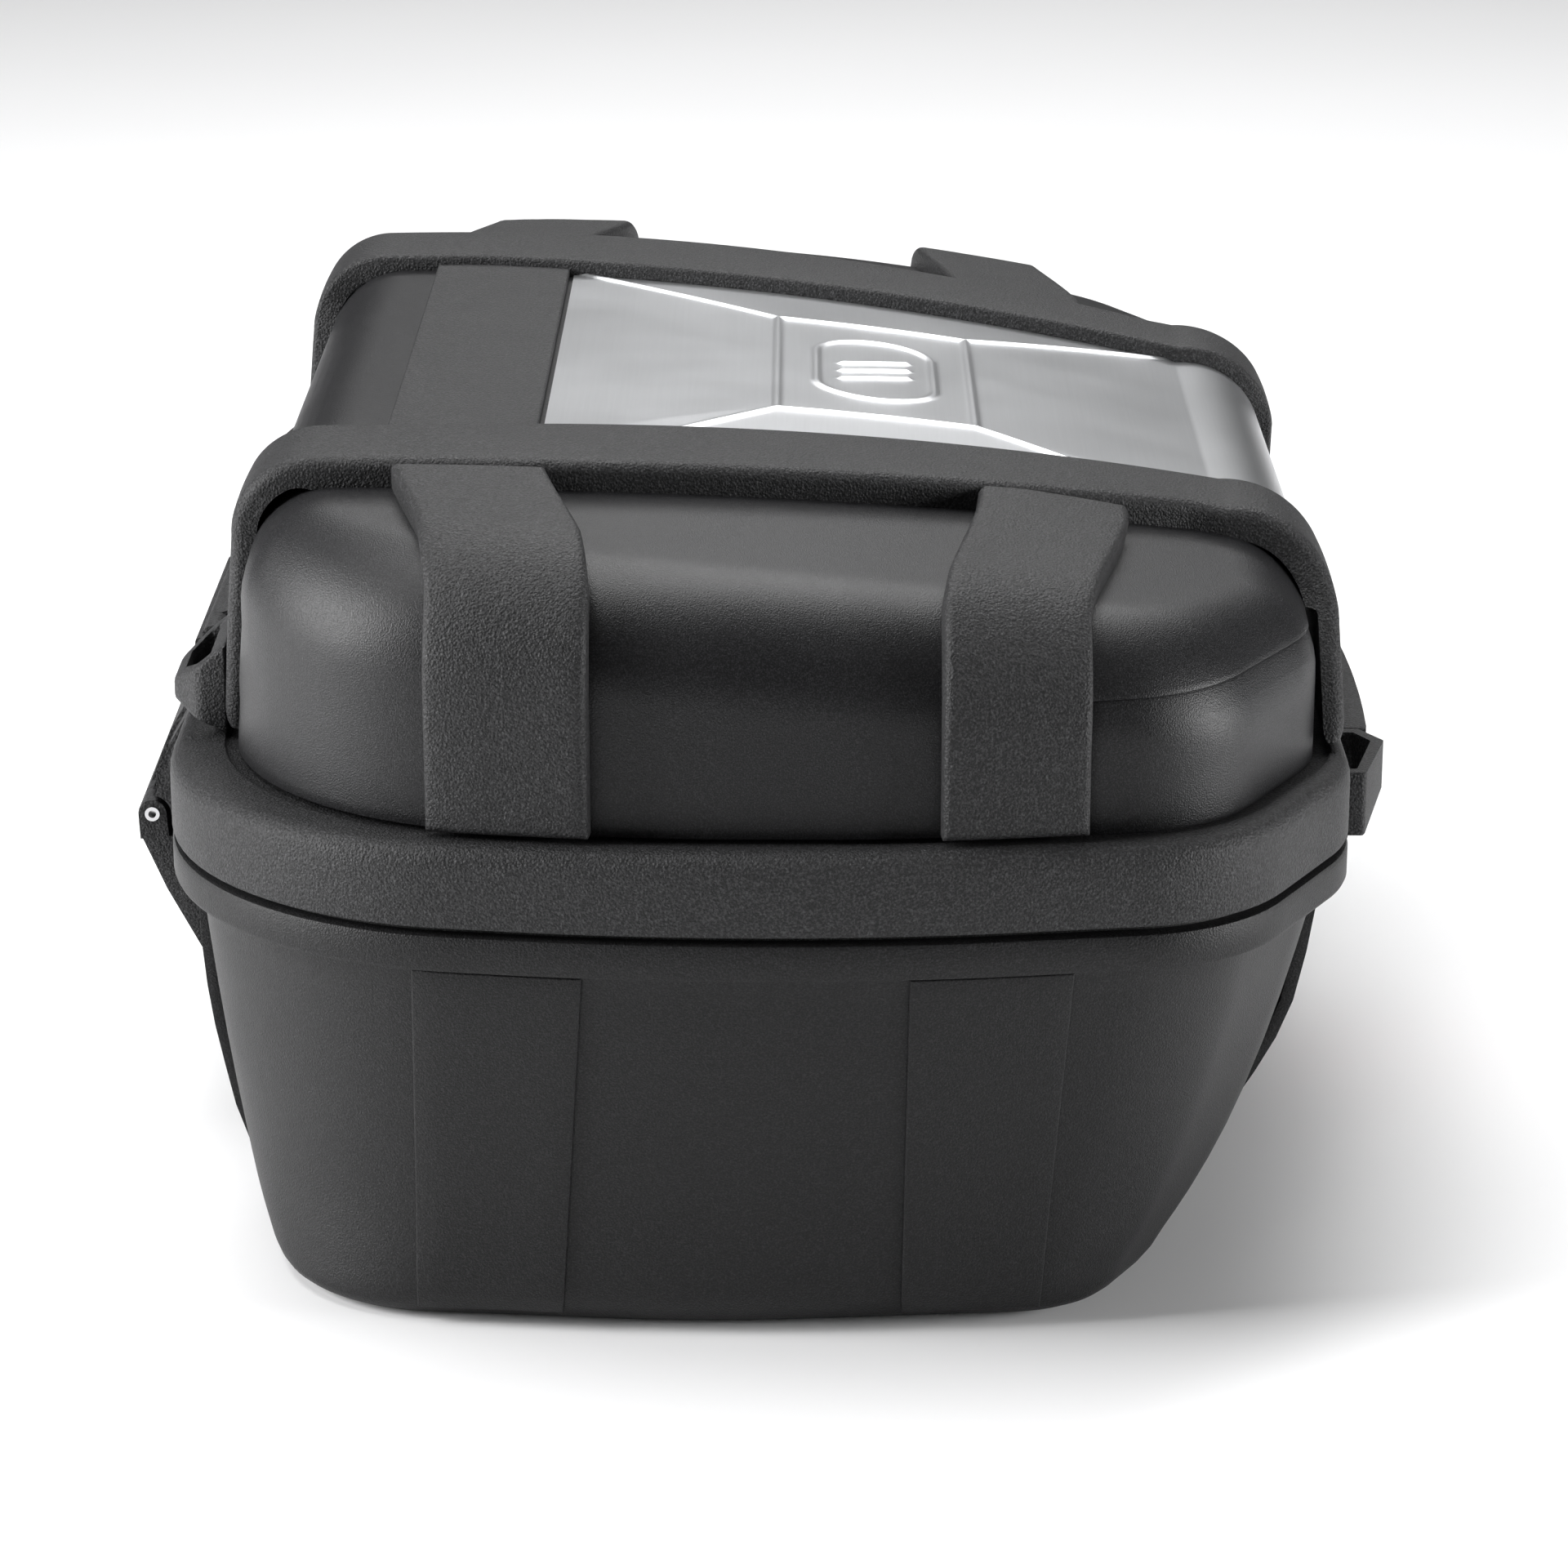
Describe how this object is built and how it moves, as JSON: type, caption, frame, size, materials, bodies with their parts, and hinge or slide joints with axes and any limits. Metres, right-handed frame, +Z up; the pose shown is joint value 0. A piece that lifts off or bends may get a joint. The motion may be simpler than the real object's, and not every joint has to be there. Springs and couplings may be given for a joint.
{
  "type": "motorcycle side case",
  "caption": "Rigid motorcycle side case with a hinged lid, a second hinged flap in the lid, wrap-over bars, bump pads, lock lever, carry handle and sprung rack catch.",
  "frame": {"origin": "middle of the underside, on the surface the case rests on", "axes": "+X from the hinge side to the lock side, +Y along the case, +Z up from the rack side to the lid"},
  "size_m": [0.4195, 0.5308, 0.2627],
  "materials": {
    "grained_black": "coarse leather grain, matt",
    "shell_black": "fine grain, satin-matt",
    "satin_black": "very fine grain, satin",
    "plate_aluminium": "satin anodised with embossed lines",
    "pin_steel": "zinc plated",
    "screw_steel": "zinc plated",
    "lock_chrome": "polished key face",
    "seal_rubber": "matt",
    "button_red": "smooth"
  },
  "bodies": {
    "base": {"lower_shell": "shell_black", "base_seal": "seal_rubber", "rack_plate": "grained_black", "rack_plate_screws": "screw_steel", "catch_spring": "screw_steel", "catch_housing": "grained_black", "catch_end_plates": "grained_black", "hinge_lower_leaf": "grained_black", "hinge_pin": "pin_steel", "lock_housing": "grained_black", "lever_pin": "pin_steel", "handle_loop_far": "grained_black", "handle_loop_near": "grained_black"},
    "lid": {"lid_frame": "grained_black", "hinge_upper_leaf": "grained_black", "lever_keeper": "pin_steel", "flap_hinge_base": "grained_black", "flap_hinge_pin": "pin_steel"},
    "flap": {"flap_shell": "satin_black", "top_plate": "plate_aluminium", "top_band": "grained_black", "bar_far": "grained_black", "bar_near": "grained_black", "pad_far_left": "grained_black", "pad_far_right": "grained_black", "pad_near_left": "grained_black", "pad_near_right": "grained_black", "strap_loop_far": "grained_black", "strap_loop_near": "grained_black", "flap_hinge_leaf": "grained_black", "flap_keeper": "pin_steel"},
    "flap_latch": {"flap_latch_button": "satin_black", "flap_latch_hook": "grained_black"},
    "lever": {"lock_lever": "grained_black"},
    "key_lock": {"lock_cylinder": "lock_chrome", "lock_cam": "pin_steel"},
    "handle": {"carry_handle": "grained_black", "handle_pins": "pin_steel"},
    "rack_button": {"rack_release_button": "button_red"},
    "catch": {"rack_catch": "pin_steel"}
  },
  "joints": [
    {"name": "lid_hinge", "type": "hinge", "parent": "base", "child": "lid", "pos_m": [-0.205, 0, 0.114], "axis": [0, -1, 0], "range_deg": [0, 85]},
    {"name": "flap_hinge", "type": "hinge", "parent": "lid", "child": "flap", "pos_m": [-0.184, 0, 0.172], "axis": [0, -1, 0], "range_deg": [0, 75]},
    {"name": "flap_latch_press", "type": "slide", "parent": "lid", "child": "flap_latch", "axis": [-1, 0, 0], "range_m": [0, 0.0035], "stiffness_N_per_m": 400},
    {"name": "lever_swing", "type": "hinge", "parent": "base", "child": "lever", "pos_m": [0.1932, 0, 0.145], "axis": [0, 1, 0], "range_deg": [0, 60]},
    {"name": "key_turn", "type": "hinge", "parent": "base", "child": "key_lock", "pos_m": [0.194, 0, 0.112], "axis": [1, 0, 0], "range_deg": [0, 90]},
    {"name": "handle_swing", "type": "hinge", "parent": "base", "child": "handle", "pos_m": [0.195, 0, 0.1], "axis": [0, 1, 0], "range_deg": [0, 90]},
    {"name": "rack_button_press", "type": "slide", "parent": "base", "child": "rack_button", "axis": [-1, 0, 0], "range_m": [0, 0.005], "stiffness_N_per_m": 400},
    {"name": "catch_slide", "type": "slide", "parent": "base", "child": "catch", "axis": [-1, 0, 0], "range_m": [0, 0.007]}
  ],
  "couplings": [
    {"joint": "catch_slide", "follows": "rack_button_press", "ratio": 1.4}
  ]
}
